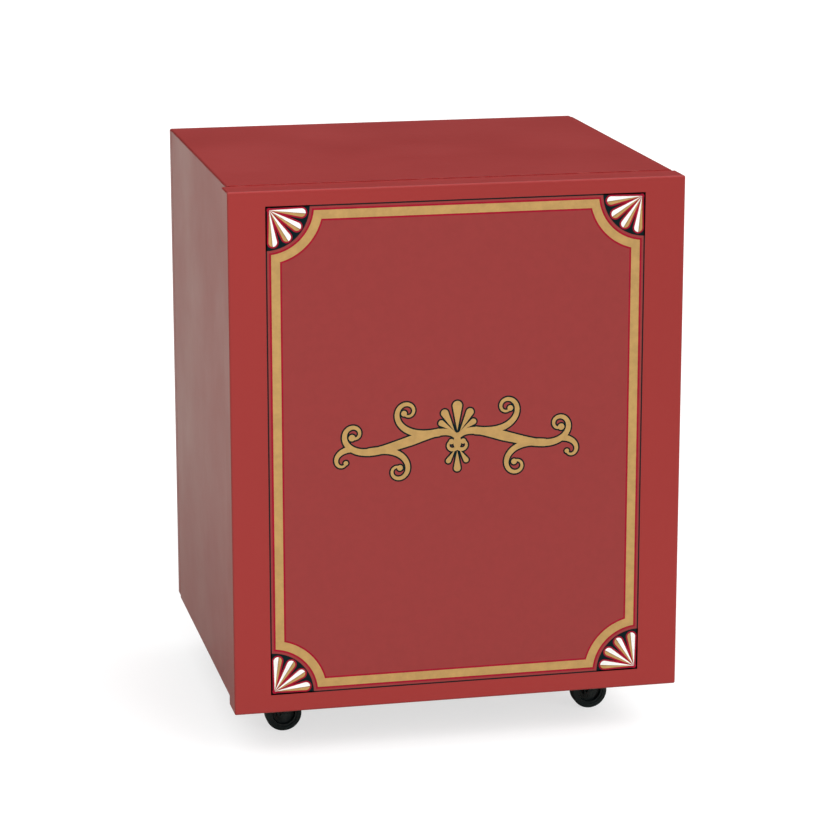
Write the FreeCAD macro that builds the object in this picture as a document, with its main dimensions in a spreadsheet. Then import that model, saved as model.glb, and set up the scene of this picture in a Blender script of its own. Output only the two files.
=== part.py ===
import FreeCAD, Part
import os
import Sketcher

# Enamelled steel base cabinet for a popcorn machine, on four swivel casters.
# Frame: +Z up, the floor at Z = 0, the decorated front towards -Y, the door at +Y.
# The origin lies on the floor under the middle of the cabinet.

# Driving dimensions in millimetres and degrees, one spreadsheet cell each.
SIZES = {
    # whole cabinet
    "panel_width": 610,       # decorated front panel, the widest piece
    "panel_height": 703,
    "cabinet_depth": 560,     # front graphic to lock face
    "ground_gap": 70,         # floor to underside, the casters' overall height
    "skin": 1.2,              # sheet steel
    "plate": 2.5,             # heavier steel of rails, caster plates and forks
    "bend": 3,                # outside radius of a folded edge
    # front
    "graphic_thick": 0.3,
    "graphic_width": 506.5,
    "graphic_height": 658,
    "graphic_left": 49,       # from the panel's left edge to the graphic
    "graphic_drop": 20,       # from the panel's top edge to the graphic
    "panel_bend": 2.5,
    "panel_return": 43,       # depth of the folded front panel
    "seam": 1,                # gap between front panel and wrapper
    "side_step": 5.5,         # front panel stands this far outside the wrapper
    "top_step": 1.5,          # wrapper's top stands this far above the front panel
    "bottom_step": 2,         # wrapper ends this far above the panel's lower edge
    "frame_setback": 8,       # front panel's face to the front frame
    "frame_overlap": 22,      # front frame inside the wrapper
    "frame_drop": 4,          # front frame's top below the panel's top
    "lip_clear": 0.2,         # panel's inner lip to the front frame
    "flange": 22,             # width of the frames' face flanges
    "foot_flange": 15,        # wrapper's flanges along its lower edges
    # floor, shelf and stiffeners
    "floor_level": 95,
    "pan_flange": 20,
    "shelf_level": 425,
    "shelf_gap": 0.5,
    "shelf_margin": 4,
    "angle_leg": 18,
    "angle_thick": 1.5,
    "angle_short": 10,        # angles are this much shorter than the shelf is deep
    "hat_width": 60,
    "hat_rise": 20,
    "hat_foot": 14,
    "hat_inset": 4,           # stiffener's ends to the wrapper's sides
    "packing_inset": 3,
    "rail_length": 560,
    "rail_width": 90,
    "rear_frame_depth": 20,
    # door
    "door_thick": 20,
    "door_gap": 2,            # rear frame to door, filled by the bumpers
    "door_trim": 2,           # door's height less than the wrapper's
    "liner_flange": 10,
    "lock_proud": 2,
    "lock_side": 260,         # lock axis from the middle, away from the hinges
    "lock_level": 505,
    "barrel_radius": 9,
    "barrel_rim_radius": 12,
    "barrel_tail": 2.8,       # barrel's inner end past the rear frame's face
    "lock_nut_hex": 14,       # across the corners, halved, as for every hexagon here
    "lock_nut_thick": 4,
    "plug_radius": 6,
    "plug_setback": 0.4,
    "key_width": 1.6,
    "key_height": 7,
    "key_depth": 6,
    "running_gap": 0.06,      # radial clearance of every turning pair
    "cam_length": 30,
    "cam_width": 16,
    "cam_thick": 3,
    "cam_gap": 0.3,
    "cam_screw_radius": 5.5,
    "cam_screw_thick": 2.5,
    "tang_width": 7,
    "pull_side": 225,
    "pull_level": 425,
    "pull_width": 96,
    "pull_height": 56,
    "pull_depth": 14,
    "pull_rim": 8,
    "pull_thick": 1.4,
    "pull_lip": 30,           # how far the lip covers the cup
    "pull_corner": 4,
    "bumper_radius": 5,
    "bumper_thick": 1.6,
    "catch_width": 40,
    "catch_height": 13,
    "catch_depth": 14,
    "catch_margin": 3,        # catch above the rear frame's inner edge
    "slot_side": 4,           # catch's case past the slot's ends
    "slot_end": 2,            # catch's case past the slot's long edges
    "pole_inset": 6,
    "pole_reach": 4,
    "pole_thick": 2,
    "pole_proud": 0.4,
    "pole_low": 3.2,          # lower pole above the case's underside
    "pole_high": 7.8,
    "strike_thick": 1.1,
    # hinges
    "hinge_low": 200,
    "hinge_high": 650,
    "hinge_length": 70,
    "hinge_leaf": 20,
    "hinge_axis_out": 2.85,   # hinge axis outside the wrapper's side
    "knuckle_radius": 2.5,
    "pin_radius": 1.3,
    "knuckle_gap": 0.4,
    "knuckle_room": 0.6,      # radial room round the other leaf's knuckles
    "screw_step": 22,         # screws above and below the hinge's middle
    "screw_inset": 15,        # hinge axis to the screws
    "screw_radius": 1.6,
    "screw_hole_radius": 1.7,
    "screw_head_radius": 3,
    "screw_head_thick": 1.4,
    # casters
    "caster_side": 238,       # swivel axis from the middle
    "caster_front": 150,      # swivel axis in front of the middle
    "caster_rear": 170,       # swivel axis behind the middle
    "wheel_radius": 25,
    "trail": 20,              # wheel axle behind the swivel axis
    "mount_width": 60,
    "mount_corner": 6,
    "bolt_pitch": 45,
    "bolt_radius": 3,
    "bolt_play": 0.2,
    "bolt_length": 13,        # under the head
    "bolt_hex": 5.8,
    "bolt_head_thick": 4,
    "bolt_nut_thick": 5,
    "race_radius": 16,        # pressed ring under the plate
    "race_height": 3,
    "crown_radius": 19,
    "cup_radius": 14,         # raised cup on the crown
    "cup_height": 2.2,
    "swivel_gap": 0.3,
    "kingpin_radius": 4,
    "pin_head_radius": 7,
    "pin_head_thick": 2.4,
    "axle_radius": 4,
    "axle_hex": 6.5,
    "axle_hex_thick": 4,
    "axle_end": 5,            # axle past the fork's outer faces
    "tyre_depth": 6,
    "tyre_half": 10,
    "tyre_shoulder": 3,
    "rim_half": 8.5,
    "rim_depth": 3,
    "web_half": 3,
    "web_inner": 10,
    "web_outer": 15,
    "hub_radius": 9,
    "hub_half": 11.2,
    "fork_half": 11.5,        # half the space between the fork's legs
    "leg_top": 12,            # half the width of a leg at the crown
    "leg_end": 8,             # and at the axle
    "pivot_reach": 32,        # brake pedal's pivot behind the swivel axis
    "pivot_level": 52,
    "pivot_radius": 2.5,
    "cheek_out": 6,           # leg's corner past the pedal's pivot
    "cheek_up": 5,
    "cheek_down": 4,
    "pedal_play": 1,          # pedal's side to the leg
    "pivot_end": 1,           # pedal's pin past the fork's outer faces
}

# Side outline of the brake pedal and its shoe, from the pivot: outwards, upwards.
PEDAL_OUTLINE = [
    (-4, 4), (3, 4), (16, -1), (30, -5), (30, -8), (16, -4), (4, -3), (1, -3.5), (-1.5, -3), (-4, -1),
]

doc = FreeCAD.newDocument("base_cabinet")
sheet = doc.addObject("Spreadsheet::Sheet", "sizes")
for row, (alias, number) in enumerate(SIZES.items(), start=1):
    sheet.set(f"A{row}", alias)
    sheet.set(f"B{row}", str(number))
    sheet.setAlias(f"B{row}", alias)
doc.recompute()

# Places worked out from the driving dimensions, as expressions.
PANEL_FACE = "(sizes.graphic_thick - sizes.cabinet_depth / 2)"
PANEL_TOP = "(sizes.ground_gap + sizes.panel_height)"
WRAPPER_FRONT = f"({PANEL_FACE} + sizes.panel_return + sizes.seam)"
WRAPPER_HALF = "(sizes.panel_width / 2 - sizes.side_step)"
WRAPPER_TOP = f"({PANEL_TOP} + sizes.top_step)"
WRAPPER_BOTTOM = "(sizes.ground_gap + sizes.bottom_step)"
FRAME_FRONT = f"({PANEL_FACE} + sizes.frame_setback)"
FRAME_BACK = f"({WRAPPER_FRONT} + sizes.frame_overlap)"
FRAME_TOP = f"({PANEL_TOP} - sizes.frame_drop)"
INNER_HALF = f"({WRAPPER_HALF} - sizes.skin)"
INNER_TOP = f"({WRAPPER_TOP} - sizes.skin)"
INNER_BOTTOM = f"({WRAPPER_BOTTOM} + sizes.skin)"
DOOR_FACE = "(sizes.cabinet_depth / 2 - sizes.lock_proud)"
DOOR_BACK = f"({DOOR_FACE} - sizes.door_thick)"
DOOR_HEIGHT = f"({WRAPPER_TOP} - {WRAPPER_BOTTOM} - sizes.door_trim)"
DOOR_MIDDLE = f"(({WRAPPER_TOP} + {WRAPPER_BOTTOM}) / 2)"
REAR_FACE = f"({DOOR_BACK} - sizes.door_gap)"
REAR_FRAME_FRONT = f"({REAR_FACE} - sizes.rear_frame_depth)"
HINGE_X = f"({WRAPPER_HALF} + sizes.hinge_axis_out)"
HINGE_Y = f"({REAR_FACE} + sizes.door_gap / 2)"
MOUNT_UNDERSIDE = "(sizes.ground_gap - sizes.plate)"
CROWN_TOP = f"({MOUNT_UNDERSIDE} - sizes.race_height - sizes.cup_height - sizes.swivel_gap)"
RIM_RADIUS = "(sizes.wheel_radius - sizes.tyre_depth)"
FORK_OUTSIDE = "(sizes.fork_half + sizes.plate)"

# How far a cutting tool passes the material that it cuts.
OVER = "1"

LEVEL = FreeCAD.Rotation()
FACE_DOWN = FreeCAD.Rotation(FreeCAD.Vector(1, 0, 0), 180)
FACE_FRONT = FreeCAD.Rotation(FreeCAD.Vector(1, 0, 0), -90)   # local +Z to +Y
FACE_REAR = FreeCAD.Rotation(FreeCAD.Vector(1, 0, 0), 90)     # local +Z to -Y
OUTWARD = FreeCAD.Rotation(FreeCAD.Vector(0, 1, 0), 90)       # local +Z to +X
TURNED = FreeCAD.Rotation(FreeCAD.Vector(0, 0, 1), 180)

PARALLEL = 0.99   # least cosine between directions that count as the same
TINY = 0.01       # millimetres or cubic millimetres that count as nothing

sub_parts = []


# ---------------------------------------------------------------- helpers

def bind(thing, path, expression):
    thing.setExpression(path, expression)


def put(thing, place, turn=LEVEL):
    """Turn an object and bind its position to three expressions."""
    thing.Placement = FreeCAD.Placement(FreeCAD.Vector(0, 0, 0), turn)
    for axis, expression in zip("xyz", place):
        bind(thing, f"Placement.Base.{axis}", expression)


def keep(thing, label):
    """Name an object as a sub-part of the cabinet."""
    thing.Label = label
    sub_parts.append(thing)
    return thing


def new_body(label, place=("0", "0", "0"), turn=LEVEL):
    body = doc.addObject("PartDesign::Body", label)
    put(body, place, turn)
    return keep(body, label)


def new_sketch(body, role, offset="0"):
    """A sketch on one of the body's own origin planes, moved along its normal."""
    sketch = body.newObject("Sketcher::SketchObject", f"{body.Name}_outline")
    plane = next(feature for feature in body.Origin.OriginFeatures if feature.Role == role)
    sketch.AttachmentSupport = [(plane, "")]
    sketch.MapMode = "FlatFace"
    bind(sketch, "AttachmentOffset.Base.z", offset)
    return sketch


def outline(sketch, corners):
    """A closed polygon whose corners are bound to pairs of expressions.

    It starts as any polygon with no two corners in one place.
    """
    first = sketch.GeometryCount
    count = len(corners)
    start = [FreeCAD.Vector(index, (index * index) % 7, 0) for index in range(count)]
    for index in range(count):
        line = Part.LineSegment(start[index], start[(index + 1) % count])
        sketch.addGeometry(line, False)
    for index in range(count):
        following = first + (index + 1) % count
        sketch.addConstraint(Sketcher.Constraint("Coincident", first + index, 2, following, 1))
    for index, corner in enumerate(corners):
        for kind, expression in zip(("DistanceX", "DistanceY"), corner):
            rule = Sketcher.Constraint(kind, -1, 1, first + index, 1, 1.0)
            number = sketch.addConstraint(rule)
            bind(sketch, f"Constraints[{number}]", expression)


def rectangle(sketch, width, height, left=None, bottom=None):
    """A rectangle, centred on the origin unless its lower left corner is given."""
    left = left or f"-({width}) / 2"
    bottom = bottom or f"-({height}) / 2"
    right = f"{left} + {width}"
    top = f"{bottom} + {height}"
    outline(sketch, [(left, bottom), (right, bottom), (right, top), (left, top)])


def circle(sketch, radius, across="0", along="0"):
    shape = Part.Circle(FreeCAD.Vector(1, 1, 0), FreeCAD.Vector(0, 0, 1), 2)
    index = sketch.addGeometry(shape, False)
    rules = [
        (Sketcher.Constraint("DistanceX", -1, 1, index, 3, 1.0), across),
        (Sketcher.Constraint("DistanceY", -1, 1, index, 3, 1.0), along),
        (Sketcher.Constraint("Radius", index, 2.0), radius),
    ]
    for rule, expression in rules:
        number = sketch.addConstraint(rule)
        bind(sketch, f"Constraints[{number}]", expression)


def pad(body, sketch, length, backwards=False, both_ways=False):
    feature = body.newObject("PartDesign::Pad", f"{body.Name}_pad")
    feature.Profile = sketch
    bind(feature, "Length", length)
    feature.Reversed = backwards
    feature.Midplane = both_ways
    doc.recompute()
    return feature


def pocket(body, sketch, length, backwards=False, both_ways=False):
    """Cut a sketch out of the body, and make sure that something was cut."""
    volume = body.Shape.Volume
    feature = body.newObject("PartDesign::Pocket", f"{body.Name}_pocket")
    feature.Profile = sketch
    bind(feature, "Length", length)
    feature.Reversed = backwards
    feature.Midplane = both_ways
    doc.recompute()
    if body.Shape.Volume >= volume - TINY:
        raise RuntimeError(f"{body.Label}: a pocket cut nothing")
    return feature


def round_edges(body, base, radius, wanted):
    """Fillet the straight edges that the test picks by their middle and direction."""
    names = []
    for number, edge in enumerate(base.Shape.Edges, start=1):
        straight = not edge.Degenerated and edge.Curve.TypeId == "Part::GeomLine"
        if straight and wanted(edge.CenterOfMass, edge.Curve.Direction):
            names.append(f"Edge{number}")
    feature = body.newObject("PartDesign::Fillet", f"{body.Name}_bends")
    feature.Base = (base, names)
    bind(feature, "Radius", radius)
    doc.recompute()
    return feature


def hollow(body, base, wall, directions):
    """Turn a block into sheet metal, open on its flat sides facing the directions."""
    box = base.Shape.BoundBox
    names = []
    for number, face in enumerate(base.Shape.Faces, start=1):
        if face.Surface.TypeId != "Part::GeomPlane":
            continue
        outward = (face.CenterOfMass - box.Center)
        normal = face.normalAt(0, 0)
        if any(normal.dot(way) > PARALLEL and outward.dot(way) > 0 for way in directions):
            names.append(f"Face{number}")
    feature = body.newObject("PartDesign::Thickness", f"{body.Name}_sheet")
    feature.Base = (base, names)
    bind(feature, "Value", wall)
    feature.Reversed = True
    feature.Join = 0
    doc.recompute()
    return feature


def pan(label, width, height, depth, bend, wall, place, turn):
    """Folded tray: its face on the local XY plane, its flanges towards local +Z."""
    body = new_body(label, place, turn)
    sketch = new_sketch(body, "XY_Plane")
    rectangle(sketch, width, height)
    block = pad(body, sketch, depth)

    def folded(middle, direction):
        return middle.z < TINY or abs(direction.z) > PARALLEL

    bends = round_edges(body, block, bend, folded)
    hollow(body, bends, wall, [FreeCAD.Vector(0, 0, 1)])
    return body


def ring_frame(label, half, bottom, top, front, back, flange_front):
    """Folded ring: a wall all round, and a flat flange at its front or rear end."""
    body = new_body(label, ("0", front, "0"))
    height = f"({top} - {bottom})"
    sketch = new_sketch(body, "XZ_Plane")
    rectangle(sketch, f"2 * {half}", height, f"-{half}", bottom)
    block = pad(body, sketch, f"{back} - {front}", backwards=True)
    bends = round_edges(body, block, "sizes.skin * 2", lambda middle, way: abs(way.y) > PARALLEL)
    hollow(body, bends, "sizes.skin", [FreeCAD.Vector(0, 1, 0), FreeCAD.Vector(0, -1, 0)])
    at = "0" if flange_front else f"{front} - {back} + sizes.skin"
    face = new_sketch(body, "XZ_Plane", at)
    edge = "sizes.skin / 2"
    rectangle(face, f"2 * ({half} - {edge})", f"({height} - 2 * {edge})",
              f"-{half} + {edge}", f"{bottom} + {edge}")
    rectangle(face, f"2 * ({half} - sizes.flange)", f"({height} - 2 * sizes.flange)",
              f"-{half} + sizes.flange", f"{bottom} + sizes.flange")
    pad(body, face, "sizes.skin", backwards=True)
    return body


def profile_bar(label, role, corners, length, place):
    """A bar of constant section, pushed out both ways from the middle."""
    body = new_body(label, place)
    sketch = new_sketch(body, role)
    outline(sketch, corners)
    pad(body, sketch, length, both_ways=True)
    return body


def block(name, size, place, turn=LEVEL):
    thing = doc.addObject("Part::Box", name)
    put(thing, place, turn)
    for side, expression in zip(("Length", "Width", "Height"), size):
        bind(thing, side, expression)
    return thing


def rod(name, radius, length, place, turn=LEVEL):
    thing = doc.addObject("Part::Cylinder", name)
    put(thing, place, turn)
    bind(thing, "Radius", radius)
    bind(thing, "Height", length)
    return thing


def hexagon(name, radius, length, place, turn=LEVEL):
    thing = doc.addObject("Part::Prism", name)
    thing.Polygon = 6
    put(thing, place, turn)
    bind(thing, "Circumradius", radius)
    bind(thing, "Height", length)
    return thing


def fuse(name, pieces):
    thing = doc.addObject("Part::MultiFuse", name)
    thing.Shapes = pieces
    return thing


def cut(name, base, tool):
    thing = doc.addObject("Part::Cut", name)
    thing.Base = base
    thing.Tool = tool
    return thing


def group(label, pieces):
    """Identical small pieces, kept as separate solids in one node."""
    thing = doc.addObject("Part::Compound", label)
    thing.Links = pieces
    return keep(thing, label)


# ---------------------------------------------------------------- cabinet shell

def make_wrapper():
    """One sheet folded over: left side, top and right side, with foot flanges."""
    body = new_body("wrapper", ("0", WRAPPER_FRONT, "0"))
    sketch = new_sketch(body, "XZ_Plane")
    rectangle(sketch, f"2 * {WRAPPER_HALF}", f"({WRAPPER_TOP} - {WRAPPER_BOTTOM})",
              f"-{WRAPPER_HALF}", WRAPPER_BOTTOM)
    length = f"{REAR_FACE} - {WRAPPER_FRONT}"
    block_feature = pad(body, sketch, length, backwards=True)
    middle_height = block_feature.Shape.BoundBox.Center.z

    def top_fold(middle, direction):
        return abs(direction.y) > PARALLEL and middle.z > middle_height

    bends = round_edges(body, block_feature, "sizes.bend", top_fold)
    openings = [FreeCAD.Vector(0, 1, 0), FreeCAD.Vector(0, -1, 0), FreeCAD.Vector(0, 0, -1)]
    hollow(body, bends, "sizes.skin", openings)
    feet = new_sketch(body, "XY_Plane", WRAPPER_BOTTOM)
    for left in (f"-{WRAPPER_HALF}", f"{WRAPPER_HALF} - sizes.foot_flange"):
        rectangle(feet, "sizes.foot_flange", length, left, "0")
    pad(body, feet, "sizes.skin")
    holes = new_sketch(body, "YZ_Plane", f"{WRAPPER_HALF} + {OVER}")
    for level in hinge_screw_levels():
        circle(holes, "sizes.screw_hole_radius", f"{HINGE_Y} - sizes.screw_inset - {WRAPPER_FRONT}",
               level)
    pocket(body, holes, f"sizes.skin + 2 * {OVER}")


def make_front():
    """The decorated front panel, its printed graphic, and the frame it hooks over."""
    panel = pan("front_panel", "sizes.panel_width", "sizes.panel_height", "sizes.panel_return",
                "sizes.panel_bend", "sizes.skin",
                ("0", PANEL_FACE, "sizes.ground_gap + sizes.panel_height / 2"), FACE_FRONT)
    lip = new_sketch(panel, "XY_Plane", "sizes.panel_return - sizes.skin")
    rectangle(lip, "sizes.panel_width - sizes.skin", "sizes.panel_height - sizes.skin")
    half = f"({INNER_HALF} + sizes.lip_clear)"
    low = f"(sizes.panel_height / 2 - ({PANEL_TOP} - {INNER_BOTTOM}) - sizes.lip_clear)"
    high = "(sizes.panel_height / 2 - sizes.frame_drop + sizes.lip_clear)"
    rectangle(lip, f"2 * {half}", f"({high} - {low})", f"-{half}", f"-{high}")
    pad(panel, lip, "sizes.skin")
    ring_frame("front_frame", INNER_HALF, INNER_BOTTOM, FRAME_TOP, FRAME_FRONT, FRAME_BACK, True)
    graphic = block("front_graphic",
                    ("sizes.graphic_width", "sizes.graphic_thick", "sizes.graphic_height"),
                    ("sizes.graphic_left - sizes.panel_width / 2", "-sizes.cabinet_depth / 2",
                     f"{PANEL_TOP} - sizes.graphic_drop - sizes.graphic_height"))
    keep(graphic, "front_graphic")


def make_top_bars():
    """The packing bar over the front frame, and the hat-section bar under the top."""
    packing = f"({INNER_TOP} - {FRAME_TOP})"
    thin = "sizes.skin"
    deep = "sizes.frame_overlap"
    corners = [("0", "0"), (deep, "0"), (deep, thin), (thin, thin), (thin, f"{packing} - {thin}"),
               (deep, f"{packing} - {thin}"), (deep, packing), ("0", packing)]
    profile_bar("top_packing_bar", "YZ_Plane", corners, f"2 * ({INNER_HALF} - sizes.packing_inset)",
                ("0", WRAPPER_FRONT, FRAME_TOP))
    half = "sizes.hat_width / 2"
    foot = f"({half} - sizes.hat_foot)"
    rise = "sizes.hat_rise"
    inside = f"({foot} - {thin})"
    corners = [(f"-{half}", "0"), (f"-{inside}", "0"), (f"-{inside}", f"{thin} - {rise}"),
               (inside, f"{thin} - {rise}"), (inside, "0"), (half, "0"), (half, f"-{thin}"),
               (foot, f"-{thin}"), (foot, f"-{rise}"), (f"-{foot}", f"-{rise}"),
               (f"-{foot}", f"-{thin}"), (f"-{half}", f"-{thin}")]
    profile_bar("top_stiffener", "YZ_Plane", corners, f"2 * ({INNER_HALF} - sizes.hat_inset)",
                ("0", "0", INNER_TOP))


def make_rear_frame():
    """The door frame, with a slot where the catch's poles pass."""
    body = ring_frame("rear_frame", INNER_HALF, INNER_BOTTOM, INNER_TOP,
                      REAR_FRAME_FRONT, REAR_FACE, False)
    slot = new_sketch(body, "XZ_Plane", f"{REAR_FRAME_FRONT} - {REAR_FACE} - {OVER}")
    rectangle(slot, "sizes.catch_width - 2 * sizes.slot_side",
              "sizes.catch_height - 2 * sizes.slot_end",
              None, f"{INNER_TOP} - sizes.flange + sizes.catch_margin + sizes.slot_end")
    pocket(body, slot, f"sizes.skin + 2 * {OVER}", backwards=True)


def make_floor():
    """The cabinet floor and the two rails that the casters bolt to."""
    depth = f"({REAR_FRAME_FRONT} - {FRAME_BACK})"
    middle = f"({REAR_FRAME_FRONT} + {FRAME_BACK}) / 2"
    pan("floor_pan", f"2 * {INNER_HALF}", depth, "sizes.pan_flange", "sizes.bend", "sizes.skin",
        ("0", middle, "sizes.floor_level"), FACE_DOWN)
    wide = "sizes.rail_width / 2"
    thick = "sizes.plate"
    top = "(sizes.floor_level - sizes.skin - sizes.ground_gap)"
    corners = [(f"-{wide}", "0"), (wide, "0"), (wide, top), (f"{wide} - {thick}", top),
               (f"{wide} - {thick}", thick), (f"{thick} - {wide}", thick),
               (f"{thick} - {wide}", top), (f"-{wide}", top)]
    places = {"caster_rail_front": "-sizes.caster_front", "caster_rail_rear": "sizes.caster_rear"}
    for label, along in places.items():
        rail = profile_bar(label, "YZ_Plane", corners, "sizes.rail_length",
                           ("0", along, "sizes.ground_gap"))
        holes = new_sketch(rail, "XY_Plane", f"sizes.plate + {OVER}")
        for side in ("-sizes.caster_side", "sizes.caster_side"):
            for across, ahead in bolt_corners():
                circle(holes, "sizes.bolt_radius + sizes.bolt_play", f"{side} + {across}", ahead)
        pocket(rail, holes, f"sizes.plate + 2 * {OVER}")


def make_shelf():
    """The inner shelf and the two angles that carry it."""
    front = f"({FRAME_BACK} + sizes.shelf_margin)"
    rear = f"({REAR_FRAME_FRONT} - sizes.shelf_margin)"
    pan("shelf", f"2 * ({INNER_HALF} - sizes.shelf_gap)", f"({rear} - {front})",
        "sizes.pan_flange", "sizes.bend", "sizes.skin",
        ("0", f"({front} + {rear}) / 2", "sizes.shelf_level"), FACE_DOWN)
    leg = "sizes.angle_leg"
    thick = "sizes.angle_thick"
    for label, sign in (("shelf_angle_left", ""), ("shelf_angle_right", "-")):
        corners = [("0", "0"), (f"{sign}{leg}", "0"), (f"{sign}{leg}", f"-{thick}"),
                   (f"{sign}{thick}", f"-{thick}"), (f"{sign}{thick}", f"-{leg}"), ("0", f"-{leg}")]
        side = f"-{INNER_HALF}" if sign == "" else INNER_HALF
        profile_bar(label, "XZ_Plane", corners, f"{rear} - {front} - sizes.angle_short",
                    (side, f"({front} + {rear}) / 2", "sizes.shelf_level - sizes.pan_flange"))


# ---------------------------------------------------------------- door

def make_door():
    """Outer door pan and the liner pan nested in it."""
    skin = pan("door_skin", f"2 * {WRAPPER_HALF}", DOOR_HEIGHT, "sizes.door_thick",
               "sizes.bend", "sizes.skin", ("0", DOOR_FACE, DOOR_MIDDLE), FACE_REAR)
    holes = new_sketch(skin, "XY_Plane", f"-{OVER}")
    circle(holes, "sizes.barrel_radius", "-sizes.lock_side", f"sizes.lock_level - {DOOR_MIDDLE}")
    rectangle(holes, "sizes.pull_width", "sizes.pull_height",
              "-sizes.pull_side - sizes.pull_width / 2",
              f"sizes.pull_level - {DOOR_MIDDLE} - sizes.pull_height / 2")
    pocket(skin, holes, f"sizes.skin + 2 * {OVER}", backwards=True)
    side = new_sketch(skin, "YZ_Plane", f"{WRAPPER_HALF} + {OVER}")
    for level in hinge_screw_levels():
        circle(side, "sizes.screw_hole_radius", f"{level} - {DOOR_MIDDLE}",
               "sizes.door_thick + sizes.door_gap / 2 - sizes.screw_inset")
    pocket(skin, side, f"sizes.skin + 2 * {OVER}")
    inside = "2 * sizes.skin"
    liner = pan("door_liner", f"2 * {INNER_HALF}", f"({DOOR_HEIGHT} - {inside})",
                "sizes.liner_flange", "sizes.bend - sizes.skin", "sizes.skin",
                ("0", DOOR_BACK, DOOR_MIDDLE), FACE_FRONT)
    hole = new_sketch(liner, "XY_Plane", f"-{OVER}")
    circle(hole, "sizes.barrel_radius", "-sizes.lock_side", f"{DOOR_MIDDLE} - sizes.lock_level")
    pocket(liner, hole, f"sizes.skin + 2 * {OVER}", backwards=True)


def make_door_pull():
    """Recessed cup with a rim on the door's face and a lip to pull by."""
    body = pan("door_pull", "sizes.pull_width", "sizes.pull_height", "sizes.pull_depth",
               "sizes.bend * 2", "sizes.pull_thick",
               ("-sizes.pull_side", f"{DOOR_FACE} - sizes.pull_depth", "sizes.pull_level"),
               FACE_FRONT)
    rim = new_sketch(body, "XY_Plane", "sizes.pull_depth")
    rectangle(rim, "sizes.pull_width + 2 * sizes.pull_rim", "sizes.pull_height + 2 * sizes.pull_rim")
    lip = "sizes.pull_lip"
    wall = "sizes.pull_thick"
    rectangle(rim, f"(sizes.pull_width - 2 * {wall} - {lip})", f"(sizes.pull_height - 2 * {wall})",
              f"{wall} + {lip} - sizes.pull_width / 2", None)
    rim_pad = pad(body, rim, wall)

    def outer_corner(middle, direction):
        half = body.Shape.BoundBox.XLength / 2
        return abs(direction.z) > PARALLEL and abs(middle.x) > half - TINY

    round_edges(body, rim_pad, "sizes.pull_corner", outer_corner)


def make_lock():
    """Cam lock: barrel and nut on the door, plug, cam and screw that turn together."""
    axis = ("-sizes.lock_side", "sizes.lock_level")
    face = "sizes.cabinet_depth / 2"
    barrel_end = f"({REAR_FACE} - sizes.barrel_tail)"

    def across(name, radius, near, far):
        """A rod along the lock's axis between two depths."""
        return rod(name, radius, f"({far}) - ({near})", (axis[0], near, axis[1]), FACE_FRONT)

    barrel = fuse("lock_barrel_solid", [
        across("lock_barrel_body", "sizes.barrel_radius", barrel_end, DOOR_FACE),
        across("lock_barrel_rim", "sizes.barrel_rim_radius", DOOR_FACE, face)])
    bore = across("lock_bore", "sizes.plug_radius + sizes.running_gap", f"{barrel_end} - {OVER}",
                  f"{face} + {OVER}")
    keep(cut("lock_barrel", barrel, bore), "lock_barrel")
    nut_back = f"{DOOR_BACK} - sizes.lock_nut_thick"
    nut = hexagon("lock_nut_solid", "sizes.lock_nut_hex", "sizes.lock_nut_thick",
                  (axis[0], nut_back, axis[1]), FACE_FRONT)
    nut_bore = across("lock_nut_bore", "sizes.barrel_radius", f"{nut_back} - {OVER}", DOOR_FACE)
    keep(cut("lock_nut", nut, nut_bore), "lock_nut")

    cam_back = f"({barrel_end} - sizes.cam_thick - sizes.cam_gap)"
    cam_front = f"({barrel_end} - sizes.cam_gap)"
    half_tang = "sizes.tang_width / 2"
    plug = fuse("lock_plug_solid", [
        across("lock_plug_rod", "sizes.plug_radius", cam_front, f"{face} - sizes.plug_setback"),
        block("lock_plug_tang", ("sizes.tang_width", "sizes.cam_thick", "sizes.tang_width"),
              (f"{axis[0]} - {half_tang}", cam_back, f"{axis[1]} - {half_tang}"))])
    keyway = block("lock_keyway", ("sizes.key_width", "sizes.key_depth", "sizes.key_height"),
                   (f"{axis[0]} - sizes.key_width / 2", f"{face} - sizes.key_depth",
                    f"{axis[1]} - sizes.key_height / 2"))
    keep(cut("lock_plug", plug, keyway), "lock_plug")
    cam = fuse("lock_cam_solid", [
        across("lock_cam_eye", "sizes.cam_width / 2", cam_back, cam_front),
        block("lock_cam_arm", ("sizes.cam_width", "sizes.cam_thick", "sizes.cam_length"),
              (f"{axis[0]} - sizes.cam_width / 2", cam_back, axis[1]))])
    eye = block("lock_cam_hole",
                ("sizes.tang_width", f"sizes.cam_thick + 2 * {OVER}", "sizes.tang_width"),
                (f"{axis[0]} - {half_tang}", f"{cam_back} - {OVER}", f"{axis[1]} - {half_tang}"))
    keep(cut("lock_cam", cam, eye), "lock_cam")
    screw = across("lock_cam_screw", "sizes.cam_screw_radius",
                   f"{cam_back} - sizes.cam_screw_thick", cam_back)
    keep(screw, "lock_cam_screw")


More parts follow.
